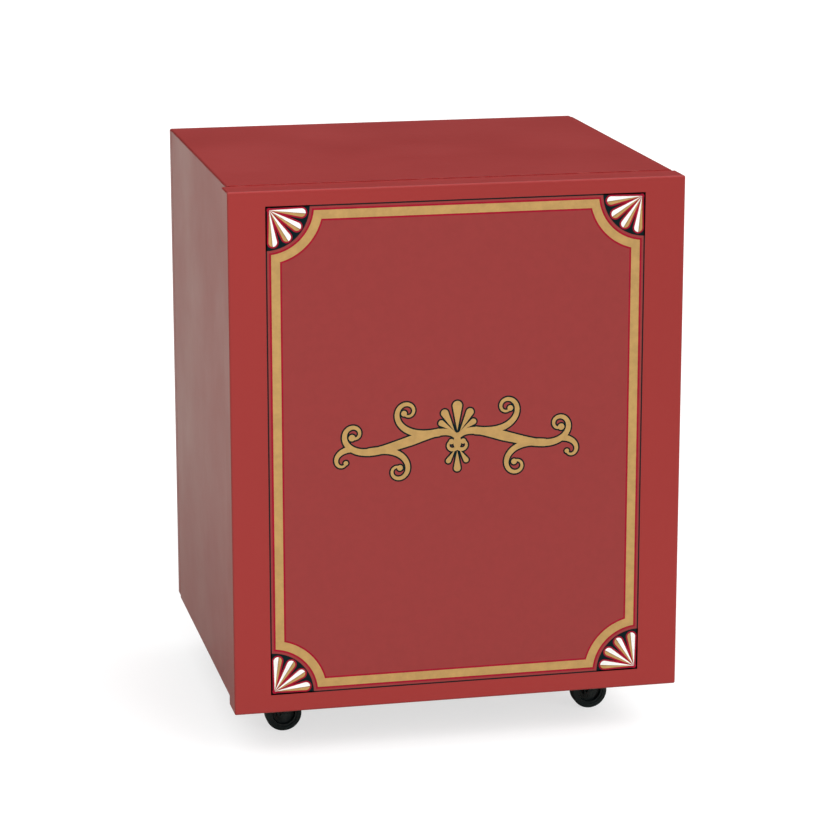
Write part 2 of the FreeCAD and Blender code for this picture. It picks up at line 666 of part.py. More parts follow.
def make_door_catch():
    """Rubber bumpers and strike plate on the door, magnetic catch on the frame."""
    bumpers = []
    inset = "sizes.flange / 2"
    for side, x in (("left", f"-{INNER_HALF} + {inset}"), ("right", f"{INNER_HALF} - {inset}")):
        for end, z in (("low", f"{INNER_BOTTOM} + {inset}"), ("high", f"{INNER_TOP} - {inset}")):
            bumpers.append(rod(f"bumper_{side}_{end}", "sizes.bumper_radius", "sizes.bumper_thick",
                               (x, f"{DOOR_BACK} - sizes.bumper_thick", z), FACE_FRONT))
    group("door_bumpers", bumpers)
    low = f"({INNER_TOP} - sizes.flange + sizes.catch_margin)"
    left = "-sizes.catch_width / 2"
    case = block("catch_case", ("sizes.catch_width", "sizes.catch_depth", "sizes.catch_height"),
                 (left, f"{REAR_FACE} - sizes.skin - sizes.catch_depth", low))
    poles = [block(f"catch_{pole}",
                   ("sizes.catch_width - 2 * sizes.pole_inset", "sizes.pole_reach",
                    "sizes.pole_thick"),
                   (f"{left} + sizes.pole_inset",
                    f"{REAR_FACE} + sizes.pole_proud - sizes.pole_reach", f"{low} + sizes.{pole}"))
             for pole in ("pole_low", "pole_high")]
    keep(fuse("catch_magnet", [case] + poles), "catch_magnet")
    strike = block("catch_strike", ("sizes.catch_width", "sizes.strike_thick", "sizes.catch_height"),
                   (left, f"{DOOR_BACK} - sizes.strike_thick", low))
    keep(strike, "catch_strike")


# ---------------------------------------------------------------- hinges

def hinge_screw_levels():
    """Heights of the screws of both hinges."""
    return [f"sizes.{hinge} {offset}" for hinge in ("hinge_low", "hinge_high")
            for offset in ("- sizes.screw_step", "+ sizes.screw_step")]


def make_hinge_leaf(label, level, on_door):
    """A leaf with its knuckles: the middle one on the door, the two ends on the cabinet."""
    half = "sizes.hinge_length / 2"
    middle_half = "sizes.hinge_length / 5"
    bottom = f"sizes.{level} - {half}"
    thick = "sizes.skin"
    if on_door:
        near = HINGE_Y
        spans = [(f"sizes.{level} - {middle_half} + sizes.knuckle_gap",
                  f"2 * ({middle_half} - sizes.knuckle_gap)")]
        others = [(bottom, f"{half} - {middle_half} + sizes.knuckle_gap"),
                  (f"sizes.{level} + {middle_half} - sizes.knuckle_gap",
                   f"{half} - {middle_half} + sizes.knuckle_gap")]
    else:
        near = f"{HINGE_Y} - sizes.hinge_leaf"
        spans = [(bottom, f"{half} - {middle_half}"),
                 (f"sizes.{level} + {middle_half}", f"{half} - {middle_half}")]
        others = [(f"sizes.{level} - {middle_half}", f"2 * {middle_half}")]
    pieces = [block(f"{label}_leaf", (thick, "sizes.hinge_leaf", "sizes.hinge_length"),
                    (WRAPPER_HALF, near, bottom))]
    tools = []
    for number, (z, length) in enumerate(spans):
        pieces.append(rod(f"{label}_knuckle_{number}", "sizes.knuckle_radius", length,
                          (HINGE_X, HINGE_Y, z)))
        tools.append(rod(f"{label}_bore_{number}", "sizes.pin_radius + sizes.running_gap", length,
                         (HINGE_X, HINGE_Y, z)))
    room = "(sizes.knuckle_radius + sizes.knuckle_room)"
    for number, (z, length) in enumerate(others):
        tools.append(rod(f"{label}_room_{number}", room, length, (HINGE_X, HINGE_Y, z)))
    hole_y = f"{HINGE_Y} {'+' if on_door else '-'} sizes.screw_inset"
    for number, step in enumerate(("- sizes.screw_step", "+ sizes.screw_step")):
        tools.append(rod(f"{label}_hole_{number}", "sizes.screw_hole_radius",
                         f"sizes.skin + 2 * {OVER}",
                         (f"{WRAPPER_HALF} - {OVER}", hole_y, f"sizes.{level} {step}"), OUTWARD))
    keep(cut(label, fuse(f"{label}_solid", pieces), fuse(f"{label}_tools", tools)), label)


def make_hinges():
    for place, level in (("lower", "hinge_low"), ("upper", "hinge_high")):
        make_hinge_leaf(f"hinge_{place}_cabinet_leaf", level, False)
        make_hinge_leaf(f"hinge_{place}_door_leaf", level, True)
        pin = rod(f"hinge_{place}_pin", "sizes.pin_radius", "sizes.hinge_length",
                  (HINGE_X, HINGE_Y, f"sizes.{level} - sizes.hinge_length / 2"))
        keep(pin, f"hinge_{place}_pin")
    for label, y in (("hinge_screws_cabinet", f"{HINGE_Y} - sizes.screw_inset"),
                     ("hinge_screws_door", f"{HINGE_Y} + sizes.screw_inset")):
        screws = []
        for number, level in enumerate(hinge_screw_levels()):
            head = rod(f"{label}_head_{number}", "sizes.screw_head_radius",
                       "sizes.screw_head_thick", (f"{WRAPPER_HALF} + sizes.skin", y, level), OUTWARD)
            shank = rod(f"{label}_shank_{number}", "sizes.screw_radius", "sizes.skin * 2",
                        (f"{WRAPPER_HALF} - sizes.skin", y, level), OUTWARD)
            screws.append(fuse(f"{label}_{number}", [head, shank]))
        group(label, screws)


# ---------------------------------------------------------------- casters

def bolt_corners():
    """The four bolt places of one caster plate, about its swivel axis."""
    half = "sizes.bolt_pitch / 2"
    return [(f"{x} {half}", f"{y} {half}") for x in ("-", "+") for y in ("-", "+")]


CASTERS = {
    "front_left": ("-sizes.caster_side", "-sizes.caster_front", LEVEL),
    "front_right": ("sizes.caster_side", "-sizes.caster_front", TURNED),
    "rear_left": ("-sizes.caster_side", "sizes.caster_rear", LEVEL),
    "rear_right": ("sizes.caster_side", "sizes.caster_rear", TURNED),
}


def make_caster_plate(label, place, turn):
    """Square top plate with a pressed race ring round the kingpin."""
    body = new_body(label, place, turn)
    sketch = new_sketch(body, "XY_Plane", MOUNT_UNDERSIDE)
    rectangle(sketch, "sizes.mount_width", "sizes.mount_width")
    plate = pad(body, sketch, "sizes.plate")
    round_edges(body, plate, "sizes.mount_corner", lambda middle, way: abs(way.z) > PARALLEL)
    race = new_sketch(body, "XY_Plane", MOUNT_UNDERSIDE)
    circle(race, "sizes.race_radius")
    pad(body, race, "sizes.race_height", backwards=True)
    holes = new_sketch(body, "XY_Plane", f"sizes.ground_gap + {OVER}")
    circle(holes, "sizes.kingpin_radius")
    for across, ahead in bolt_corners():
        circle(holes, "sizes.bolt_radius + sizes.bolt_play", across, ahead)
    pocket(body, holes, f"sizes.plate + sizes.race_height + 2 * {OVER}")


def make_kingpin(label, place, turn):
    """Rivet that holds the fork to the plate and lets it swivel."""
    body = new_body(label, place, turn)
    head_top = f"({CROWN_TOP} - sizes.plate - sizes.swivel_gap)"
    head = new_sketch(body, "XY_Plane", head_top)
    circle(head, "sizes.pin_head_radius")
    pad(body, head, "sizes.pin_head_thick", backwards=True)
    shank = new_sketch(body, "XY_Plane", head_top)
    circle(shank, "sizes.kingpin_radius")
    pad(body, shank, f"sizes.ground_gap - {head_top}")


def make_fork(label, place, turn, braked):
    """Crown with a raised cup, and two legs down to the axle."""
    body = new_body(label, place, turn)
    crown = new_sketch(body, "XY_Plane", f"{CROWN_TOP} - sizes.plate")
    circle(crown, "sizes.crown_radius")
    pad(body, crown, "sizes.plate")
    cup = new_sketch(body, "XY_Plane", CROWN_TOP)
    circle(cup, "sizes.cup_radius")
    pad(body, cup, "sizes.cup_height")
    axle = ("sizes.trail", "sizes.wheel_radius")
    top = CROWN_TOP
    shape = [("-sizes.leg_top", top), ("sizes.leg_top", top)]
    if braked:
        cheek = "sizes.pivot_reach + sizes.cheek_out"
        shape += [(cheek, "sizes.pivot_level + sizes.cheek_up"),
                  (cheek, "sizes.pivot_level - sizes.cheek_down")]
    shape += [("sizes.trail + sizes.leg_end", axle[1]), ("sizes.trail - sizes.leg_end", axle[1])]
    for side in (FORK_OUTSIDE, "-sizes.fork_half"):
        leg = new_sketch(body, "XZ_Plane", side)
        outline(leg, shape)
        pad(body, leg, "sizes.plate", backwards=True)
        boss = new_sketch(body, "XZ_Plane", side)
        circle(boss, "sizes.leg_end", *axle)
        pad(body, boss, "sizes.plate", backwards=True)
    bores = new_sketch(body, "XZ_Plane")
    circle(bores, "sizes.axle_radius", *axle)
    if braked:
        circle(bores, "sizes.pivot_radius + sizes.running_gap",
               "sizes.pivot_reach", "sizes.pivot_level")
    pocket(body, bores, f"2 * ({FORK_OUTSIDE} + {OVER})", both_ways=True)
    bore = new_sketch(body, "XY_Plane", f"{CROWN_TOP} + sizes.cup_height + {OVER}")
    circle(bore, "sizes.kingpin_radius + sizes.running_gap")
    pocket(body, bore, f"sizes.plate + sizes.cup_height + 2 * {OVER}")


def make_axle(label, place, turn):
    """Bolt through the fork's legs, with a hexagon head and nut."""
    level = "sizes.wheel_radius"
    hexagons = (("head", f"-{FORK_OUTSIDE} - sizes.axle_hex_thick"), ("nut", FORK_OUTSIDE))
    pieces = [rod(f"{label}_shank", "sizes.axle_radius",
                  f"2 * ({FORK_OUTSIDE} + sizes.axle_end)",
                  ("sizes.trail", f"-{FORK_OUTSIDE} - sizes.axle_end", level), FACE_FRONT)]
    for end, near in hexagons:
        pieces.append(hexagon(f"{label}_{end}", "sizes.axle_hex", "sizes.axle_hex_thick",
                              ("sizes.trail", near, level), FACE_FRONT))
    bolt = fuse(label, pieces)
    put(bolt, place, turn)
    keep(bolt, label)


def revolved(label, place, turn, corners):
    """A ring about the wheel's axle, from half a section."""
    body = new_body(label, place, turn)
    sketch = new_sketch(body, "XZ_Plane")
    outline(sketch, corners)
    feature = body.newObject("PartDesign::Revolution", f"{body.Name}_turn")
    feature.Profile = sketch
    feature.ReferenceAxis = (sketch, ["V_Axis"])
    feature.Angle = 360
    doc.recompute()
    return body, feature


def make_wheel(label, place, turn):
    """Moulded wheel centre: hub, web and rim."""
    bore = "sizes.axle_radius + sizes.running_gap"
    half = [(bore, "-sizes.hub_half"), ("sizes.hub_radius", "-sizes.hub_half"),
            ("sizes.web_inner", "-sizes.web_half"), ("sizes.web_outer", "-sizes.web_half"),
            (f"{RIM_RADIUS} - sizes.rim_depth", "-sizes.rim_half"), (RIM_RADIUS, "-sizes.rim_half")]
    mirrored = [(radius, height[1:]) for radius, height in reversed(half)]
    revolved(label, place, turn, half + mirrored)


def make_tyre(label, place, turn):
    """Moulded tread round the wheel centre, with rounded shoulders."""
    outside = "sizes.wheel_radius"
    side = "sizes.tyre_half"
    body, ring = revolved(label, place, turn, [
        (RIM_RADIUS, f"-{side}"), (outside, f"-{side}"), (outside, side), (RIM_RADIUS, side)])
    names = []
    for number, edge in enumerate(ring.Shape.Edges, start=1):
        curve = edge.Curve
        if curve.TypeId == "Part::GeomCircle" and curve.Radius > SIZES["wheel_radius"] - TINY:
            names.append(f"Edge{number}")
    soft = body.newObject("PartDesign::Fillet", f"{body.Name}_shoulders")
    soft.Base = (ring, names)
    bind(soft, "Radius", "sizes.tyre_shoulder")
    doc.recompute()


def make_brake_pedal(label, place, turn):
    """Pedal with a shoe over the tyre, on a cross pin through the fork's legs."""
    body = new_body(label, place, turn)
    reach = "sizes.pivot_reach"
    level = "sizes.pivot_level"
    side = new_sketch(body, "XZ_Plane")
    outline(side, [(f"{reach} + ({out})", f"{level} + ({up})") for out, up in PEDAL_OUTLINE])
    pad(body, side, "2 * (sizes.fork_half - sizes.pedal_play)", both_ways=True)
    pin = new_sketch(body, "XZ_Plane")
    circle(pin, "sizes.pivot_radius", reach, level)
    pad(body, pin, f"2 * ({FORK_OUTSIDE} + sizes.pivot_end)", both_ways=True)


def make_casters():
    for corner, (across, along, turn) in CASTERS.items():
        braked = corner.startswith("rear")
        swivel = (across, along, "0")
        trail = "sizes.trail" if turn is LEVEL else "-sizes.trail"
        hub = (f"{across} + {trail}", along, "sizes.wheel_radius")
        make_caster_plate(f"caster_{corner}_plate", swivel, turn)
        make_kingpin(f"caster_{corner}_kingpin", swivel, turn)
        make_fork(f"caster_{corner}_fork", swivel, turn, braked)
        make_axle(f"caster_{corner}_axle", swivel, turn)
        make_wheel(f"caster_{corner}_wheel", hub, FACE_FRONT)
        make_tyre(f"caster_{corner}_tyre", hub, FACE_FRONT)
        if braked:
            make_brake_pedal(f"caster_{corner}_pedal", swivel, turn)


def make_caster_fasteners():
    """Sixteen bolts with heads below the plates, and their nuts inside the rails."""
    bolts = []
    nuts = []
    under = f"{MOUNT_UNDERSIDE} - sizes.bolt_head_thick"
    seat = "sizes.ground_gap + sizes.plate"
    for corner, (across, along, turn) in CASTERS.items():
        for number, (x, y) in enumerate(bolt_corners()):
            name = f"{corner}_{number}"
            place = (f"{across} + {x}", f"{along} + {y}")
            head = hexagon(f"bolt_head_{name}", "sizes.bolt_hex", "sizes.bolt_head_thick",
                           (*place, under))
            shank = rod(f"bolt_shank_{name}", "sizes.bolt_radius", "sizes.bolt_length",
                        (*place, MOUNT_UNDERSIDE))
            bolts.append(fuse(f"bolt_{name}", [head, shank]))
            solid = hexagon(f"nut_solid_{name}", "sizes.bolt_hex", "sizes.bolt_nut_thick",
                            (*place, seat))
            bore = rod(f"nut_bore_{name}", "sizes.bolt_radius", f"sizes.bolt_nut_thick + 2 * {OVER}",
                       (*place, f"{seat} - {OVER}"))
            nuts.append(cut(f"nut_{name}", solid, bore))
    group("caster_bolts", bolts)
    group("caster_nuts", nuts)


# ---------------------------------------------------------------- build and write

def check_document():
    """Stop if any object failed, or any sub-part has no sound shape."""
    for thing in doc.Objects:
        if "Invalid" in thing.State or "Error" in thing.State:
            raise RuntimeError(f"{thing.Name}: {thing.State}")
    for thing in sub_parts:
        if thing.Shape.isNull() or not thing.Shape.isValid() or not thing.Shape.Solids:
            raise RuntimeError(f"{thing.Label}: no sound shape")


make_wrapper()
make_front()
make_top_bars()
make_rear_frame()
make_floor()
make_shelf()
make_door()
make_door_pull()
make_lock()
make_door_catch()
make_hinges()
make_casters()
make_caster_fasteners()
doc.recompute()
check_document()

os.makedirs("parts", exist_ok=True)
for sub_part in sub_parts:
    sub_part.Shape.exportStep(f"parts/{sub_part.Label}.step")
print(f"{len(sub_parts)} sub-parts written")
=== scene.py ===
"""Looks of a popcorn machine's base cabinet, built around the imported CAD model.

Metres throughout, in the CAD frame: the floor is z = 0, the front panel faces -Y, the door faces +Y.
"""
import math

import bmesh
import bpy
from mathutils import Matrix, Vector, geometry


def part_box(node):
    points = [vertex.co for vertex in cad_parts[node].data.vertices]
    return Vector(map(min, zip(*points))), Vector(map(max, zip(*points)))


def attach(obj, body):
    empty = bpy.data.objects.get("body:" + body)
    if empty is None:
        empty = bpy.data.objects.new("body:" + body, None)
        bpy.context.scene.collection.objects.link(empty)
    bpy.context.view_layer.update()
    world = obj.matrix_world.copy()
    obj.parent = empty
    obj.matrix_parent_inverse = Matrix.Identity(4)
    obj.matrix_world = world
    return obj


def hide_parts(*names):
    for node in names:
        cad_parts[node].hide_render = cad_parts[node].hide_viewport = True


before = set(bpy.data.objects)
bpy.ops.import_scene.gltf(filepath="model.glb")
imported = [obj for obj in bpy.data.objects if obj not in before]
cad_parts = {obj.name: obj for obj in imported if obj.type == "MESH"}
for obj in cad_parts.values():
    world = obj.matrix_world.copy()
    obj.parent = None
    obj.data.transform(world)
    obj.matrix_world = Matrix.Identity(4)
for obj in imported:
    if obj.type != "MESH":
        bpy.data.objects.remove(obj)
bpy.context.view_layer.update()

MM = 0.001


# ---------------------------------------------------------------- material nodes

BEVEL_SAMPLES = 6
TURNED_MUCH, TURNED_LITTLE = 0.86, 0.995    # cosines between an edge's rounded and flat normals
MIX_FIRST, MIX_SECOND, MIX_RESULT = 6, 7, 2  # the Mix node's colour sockets, by number


class Finish:
    """A material's node tree, with short calls for the nodes that the finishes below share."""

    def __init__(self, name, colour, roughness, metallic=0.0, specular=0.5):
        self.material = bpy.data.materials.new(name)
        self.material.use_nodes = True
        self.tree = self.material.node_tree
        self.shader = self.tree.nodes["Principled BSDF"]
        self.shader.inputs["Base Color"].default_value = (*colour, 1)
        self.shader.inputs["Roughness"].default_value = roughness
        self.shader.inputs["Metallic"].default_value = metallic
        self.shader.inputs["Specular IOR Level"].default_value = specular
        self.place = self.node("ShaderNodeTexCoord").outputs["Object"]

    def node(self, kind, **settings):
        """A new node with those settings."""
        made = self.tree.nodes.new(kind)
        for key, value in settings.items():
            setattr(made, key, value)
        return made

    def link(self, output, node, socket):
        """Joins an output to a node's input."""
        self.tree.links.new(output, node.inputs[socket])

    def stretched(self, scale):
        """Object coordinates scaled unevenly, for grain that runs along one direction."""
        mapping = self.node("ShaderNodeMapping")
        mapping.inputs["Scale"].default_value = scale
        self.link(self.place, mapping, "Vector")
        return mapping.outputs["Vector"]

    def noise(self, scale, detail=3.0, roughness=0.5, place=None):
        """Soft noise with about that many features per metre."""
        made = self.node("ShaderNodeTexNoise")
        made.inputs["Scale"].default_value = scale
        made.inputs["Detail"].default_value = detail
        made.inputs["Roughness"].default_value = roughness
        self.link(place or self.place, made, "Vector")
        return made.outputs["Fac"]

    def cells(self, scale):
        """A different colour for each of about that many cells per metre."""
        made = self.node("ShaderNodeTexVoronoi")
        made.inputs["Scale"].default_value = scale
        self.link(self.place, made, "Vector")
        return made.outputs["Color"]

    def spread(self, value, low, high, start=0.0, end=1.0):
        """Maps value from start..end to low..high."""
        made = self.node("ShaderNodeMapRange", clamp=True)
        made.inputs["From Min"].default_value = start
        made.inputs["From Max"].default_value = end
        made.inputs["To Min"].default_value = low
        made.inputs["To Max"].default_value = high
        self.link(value, made, "Value")
        return made.outputs["Result"]

    def combined(self, operation, first, second):
        """Two outputs put together by a Math node's operation."""
        made = self.node("ShaderNodeMath", operation=operation)
        self.link(first, made, 0)
        self.link(second, made, 1)
        return made.outputs[0]

    def blend(self, factor, first, second):
        """Colour between first and second; each is a colour or an output."""
        made = self.node("ShaderNodeMix", data_type="RGBA")
        self.link(factor, made, "Factor")
        for socket, value in ((MIX_FIRST, first), (MIX_SECOND, second)):
            if isinstance(value, tuple):
                made.inputs[socket].default_value = (*value, 1)
            else:
                self.link(value, made, socket)
        return made.outputs[MIX_RESULT]

    def rounded(self, radius):
        """Normal of the surface with its edges rounded to that radius."""
        bevel = self.node("ShaderNodeBevel", samples=BEVEL_SAMPLES)
        bevel.inputs["Radius"].default_value = radius
        return bevel.outputs["Normal"]

    def edges(self, radius):
        """About 1 along the outer edges and 0 on flat surfaces."""
        flat = self.node("ShaderNodeNewGeometry").outputs["Normal"]
        dot = self.node("ShaderNodeVectorMath", operation="DOT_PRODUCT")
        self.link(self.rounded(radius), dot, 0)
        self.link(flat, dot, 1)
        return self.spread(dot.outputs["Value"], 1.0, 0.0, start=TURNED_MUCH, end=TURNED_LITTLE)

    def colour(self, output):
        """Uses an output as the shader's colour."""
        self.link(output, self.shader, "Base Color")

    def roughness(self, output):
        """Uses an output as the shader's roughness."""
        self.link(output, self.shader, "Roughness")

    def bump(self, height, distance, strength=1.0, softened=0.0):
        """Bump of that depth in metres; softened rounds the sharp edges over that radius."""
        made = self.node("ShaderNodeBump")
        made.inputs["Strength"].default_value = strength
        made.inputs["Distance"].default_value = distance
        self.link(height, made, "Height")
        if softened:
            self.link(self.rounded(softened), made, "Normal")
        self.link(made.outputs["Normal"], self.shader, "Normal")


def shade(colour, factor):
    """The colour, lighter or darker by a factor."""
    return tuple(channel * factor for channel in colour)


# ---------------------------------------------------------------- finishes

# The roughness of the enamel, the print and the zinc stays above 0.275 everywhere, because the
# renderer's noise filter treats smoother spots as mirrors and leaves a line round each of them.

ENAMEL_RED = (0.298, 0.026, 0.0245)
WORN_RED = (0.42, 0.10, 0.09)


def enamel(name, colour, roughness):
    """Sprayed and baked enamel on sheet steel: orange peel, slight waves, tone drift, worn edges."""
    finish = Finish(name, colour, roughness, specular=0.34)
    drift = finish.noise(scale=2.6, detail=2)
    speckle = finish.noise(scale=420, detail=2)
    body = finish.blend(finish.spread(drift, 0, 1, start=0.3, end=0.7),
                        shade(colour, 0.97), shade(colour, 1.03))
    body = finish.blend(finish.spread(speckle, 0, 0.1, start=0.5, end=0.8), body, shade(colour, 0.88))
    chips = finish.spread(finish.noise(scale=60, detail=4, roughness=0.65), 0, 1, start=0.52, end=0.66)
    worn = finish.combined("MULTIPLY", finish.edges(0.0009), chips)
    finish.colour(finish.blend(worn, body, WORN_RED))
    rubbed = finish.noise(scale=5.5, detail=5, roughness=0.6)
    finish.roughness(finish.spread(rubbed, roughness - 0.03, roughness + 0.05, start=0.3, end=0.7))
    peel = finish.spread(finish.noise(scale=520, detail=2), 0, 0.006)
    waves = finish.spread(finish.noise(scale=3.2, detail=1), 0, 0.2)
    finish.bump(finish.combined("ADD", peel, waves), distance=0.0011, strength=0.5, softened=0.0006)
    return finish.material


def ink(name, colour, roughness=0.42, sheen=0.3, uneven=0.08):
    """Screen-printed ink: slightly uneven cover, fine grain, a softer sheen than the enamel."""
    finish = Finish(name, colour, roughness, specular=sheen)
    cover = finish.noise(scale=95, detail=4, roughness=0.6)
    grain = finish.noise(scale=800, detail=2)
    body = finish.blend(finish.spread(cover, 0, 1, start=0.35, end=0.65),
                        shade(colour, 1 - uneven), shade(colour, 1 + uneven))
    grainy = finish.spread(grain, 0, uneven * 1.5, start=0.5, end=0.8)
    finish.colour(finish.blend(grainy, body, shade(colour, 0.8)))
    finish.roughness(finish.spread(cover, roughness - 0.08, roughness + 0.1, start=0.3, end=0.7))
    finish.bump(grain, distance=0.00002, strength=0.5)
    return finish.material


def zinc():
    """Zinc-plated steel: a faint blue and straw cast, small crystals, dull patches."""
    blue, straw = (0.47, 0.49, 0.53), (0.58, 0.55, 0.48)
    crystal, bare_edge = (0.68, 0.69, 0.70), (0.74, 0.74, 0.74)
    finish = Finish("zinc_steel", (0.52, 0.53, 0.54), 0.36, metallic=1.0)
    crystals = finish.cells(scale=160)
    cast = finish.noise(scale=30, detail=4, roughness=0.6)
    body = finish.blend(finish.spread(cast, 0, 1, start=0.35, end=0.65), blue, straw)
    body = finish.blend(finish.spread(crystals, 0, 0.3), body, crystal)
    finish.colour(finish.blend(finish.edges(0.0006), body, bare_edge))
    dull = finish.noise(scale=70, detail=5, roughness=0.65)
    finish.roughness(finish.spread(dull, 0.29, 0.5, start=0.3, end=0.7))
    finish.bump(finish.noise(scale=650, detail=3), distance=0.00006, strength=0.4, softened=0.0004)
    return finish.material


def chrome():
    """Plated steel, with fine scratches and finger marks."""
    smeared, clean = (0.66, 0.66, 0.68), (0.78, 0.78, 0.78)
    finish = Finish("chrome", (0.72, 0.72, 0.73), 0.12, metallic=1.0)
    smear = finish.noise(scale=45, detail=4, roughness=0.6)
    finish.colour(finish.blend(finish.spread(smear, 0, 1, start=0.3, end=0.7), smeared, clean))
    finish.roughness(finish.spread(smear, 0.07, 0.2, start=0.3, end=0.7))
    scratches = finish.noise(scale=900, detail=2, place=finish.stretched((1.0, 1.0, 0.06)))
    finish.bump(scratches, distance=0.00002, strength=0.35, softened=0.0005)
    return finish.material


def moulded(name, colour, roughness, grain=700):
    """Moulded plastic, rubber or black coating: fine grain, tone drift and scuffed edges."""
    finish = Finish(name, colour, roughness, specular=0.4)
    dust = finish.noise(scale=40, detail=5, roughness=0.65)
    body = finish.blend(finish.spread(dust, 0, 1, start=0.4, end=0.7),
                        shade(colour, 0.85), shade(colour, 1.5))
    finish.colour(finish.blend(finish.edges(0.0007), body, shade(colour, 2.6)))
    finish.roughness(finish.spread(dust, roughness - 0.1, roughness + 0.12, start=0.3, end=0.7))
    finish.bump(finish.noise(scale=grain, detail=3), distance=0.00005, strength=0.5, softened=0.0004)
    return finish.material


MATERIALS = {
    "enamel": enamel("enamel", ENAMEL_RED, roughness=0.31),
    "zinc_steel": zinc(),
    "chrome": chrome(),
    "black_plastic": moulded("black_plastic", (0.010, 0.015, 0.016), roughness=0.42),
    "tyre": moulded("tyre", (0.009, 0.0155, 0.016), roughness=0.55, grain=1100),
    "bumper_rubber": moulded("bumper_rubber", (0.030, 0.030, 0.031), roughness=0.62),
    "black_steel": moulded("black_steel", (0.008, 0.013, 0.014), roughness=0.38),
    "graphic": ink("graphic", (0.266, 0.032, 0.0315), roughness=0.37, uneven=0.03),
    "gold_ink": ink("gold_ink", (0.445, 0.268, 0.094), roughness=0.38),
    "crimson_ink": ink("crimson_ink", (0.30, 0.003, 0.022), sheen=0.15),
    "maroon_ink": ink("maroon_ink", (0.075, 0.001, 0.006), sheen=0.1),
    "black_ink": ink("black_ink", (0.001, 0.0095, 0.012), sheen=0.1),
    "white_ink": ink("white_ink", (0.86, 0.86, 0.84)),
    "brown_ink": ink("brown_ink", (0.20, 0.085, 0.018)),
}


def dress_nodes():
    """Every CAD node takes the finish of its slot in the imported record."""
    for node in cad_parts.values():
        for held in node.material_slots:
            held.material = MATERIALS[held.material.name.split(".")[0]]


# ---------------------------------------------------------------- meshes

def piece(name, mesh, material):
    """Turns a finished bmesh into a named part of the print, which rides on the cabinet."""
    bmesh.ops.recalc_face_normals(mesh, faces=mesh.faces[:])
    data = bpy.data.meshes.new(name)
    mesh.to_mesh(data)
    mesh.free()
    data.materials.append(MATERIALS[material])
    made = bpy.data.objects.new(name, data)
    bpy.context.scene.collection.objects.link(made)
    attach(made, "cabinet")
    return made


def add_plate(mesh, outline, back, front):
    """Adds a thin solid with that outline of (x, z) points, from y = back to y = front."""
    near = [mesh.verts.new((x, front, z)) for x, z in outline]
    far = [mesh.verts.new((x, back, z)) for x, z in outline]
    mesh.faces.new(near)
    mesh.faces.new(far[::-1])
    for a in range(len(outline)):
        b = (a + 1) % len(outline)
        mesh.faces.new((near[a], far[a], far[b], near[b]))


def add_ring(mesh, outer, inner, back, front):
    """Adds a thin closed band between two loops with equal numbers of (x, z) points."""
    loops = [[mesh.verts.new((x, y, z)) for x, z in loop]
             for y in (front, back) for loop in (outer, inner)]
    near_outer, near_inner, far_outer, far_inner = loops
    for a in range(len(outer)):
        b = (a + 1) % len(outer)
        for one, two in ((near_outer, near_inner), (near_inner, far_inner),
                         (far_inner, far_outer), (far_outer, near_outer)):
            mesh.faces.new((one[a], one[b], two[b], two[a]))


TRIANGLES_INSIDE = 1      # asks the triangulation for the triangles inside its outer edge
SAME_POINT = 1e-7         # points nearer than this are one


def add_union(mesh, shapes, back, front):
    """Adds one thin solid of overlapping convex shapes, from y = back to y = front."""
    points = []
    outlines = []
    for shape in shapes:
        turning = sum(a[0] * b[1] - b[0] * a[1] for a, b in zip(shape, shape[1:] + shape[:1]))
        outlines.append(list(range(len(points), len(points) + len(shape))))
        points += [Vector(point) for point in (shape if turning > 0 else shape[::-1])]
    spots, _, triangles, _, _, covered = geometry.delaunay_2d_cdt(
        points, [], outlines, TRIANGLES_INSIDE, SAME_POINT)
    triangles = [triangle for triangle, shapes_there in zip(triangles, covered) if shapes_there]
    near = [mesh.verts.new((x, front, z)) for x, z in spots]
    far = [mesh.verts.new((x, back, z)) for x, z in spots]
    sides = {}
    for triangle in triangles:
        mesh.faces.new([near[corner] for corner in triangle])
        mesh.faces.new([far[corner] for corner in triangle[::-1]])
        for a, b in zip(triangle, triangle[1:] + triangle[:1]):
            sides[a, b] = True
    for a, b in sides:
        if (b, a) not in sides:
            mesh.faces.new((near[b], near[a], far[a], far[b]))
    loose = [vertex for vertex in mesh.verts if not vertex.link_faces]
    bmesh.ops.delete(mesh, geom=loose, context="VERTS")


# ---------------------------------------------------------------- outlines, as lists of (x, z) points

def sector(centre, radius, first, last, steps):
    """Slice of a disc between two directions in degrees."""
    outline = [centre]
    for n in range(steps + 1):
        turn = math.radians(first + (last - first) * n / steps)
        outline.append((centre[0] + radius * math.cos(turn), centre[1] + radius * math.sin(turn)))
    return outline


def disc(centre, radius, steps=28):
    """Round outline."""
    return sector(centre, radius, 0, 360 * (steps - 1) / steps, steps - 1)[1:]


def teardrop(tip, angle, length, radius, grow=0.0, low=-90, high=90, steps=24):
    """Drop from a point at tip to a round end, whose centre is length away.

    grow widens it all round and blunts the tip. low and high cut it to the part between two
    directions, in degrees from its axis; 90 or more keeps that side whole.
    """
    along_x, along_z = math.cos(angle), math.sin(angle)
    centre = (tip[0] + along_x * length, tip[1] + along_z * length)
    side = math.degrees(math.pi - math.acos(radius / length))
    outline = []
    for half in ((grow, -grow) if grow else (0,)):
        outline.append((tip[0] - along_x * grow - along_z * half,
                        tip[1] - along_z * grow + along_x * half))
    start, end = (side if edge >= 90 else -side if edge <= -90 else edge for edge in (low, high))
    for n in range(steps + 1):
        turn = angle + math.radians(start + (end - start) * n / steps)
        outline.append((centre[0] + (radius + grow) * math.cos(turn),
                        centre[1] + (radius + grow) * math.sin(turn)))
    return outline


# ---------------------------------------------------------------- printed graphic

GRAPHIC_LOW, GRAPHIC_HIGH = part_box("front_graphic")
PRINT_BACK = GRAPHIC_HIGH[1]
PRINT_DEPTH = GRAPHIC_HIGH[1] - GRAPHIC_LOW[1]


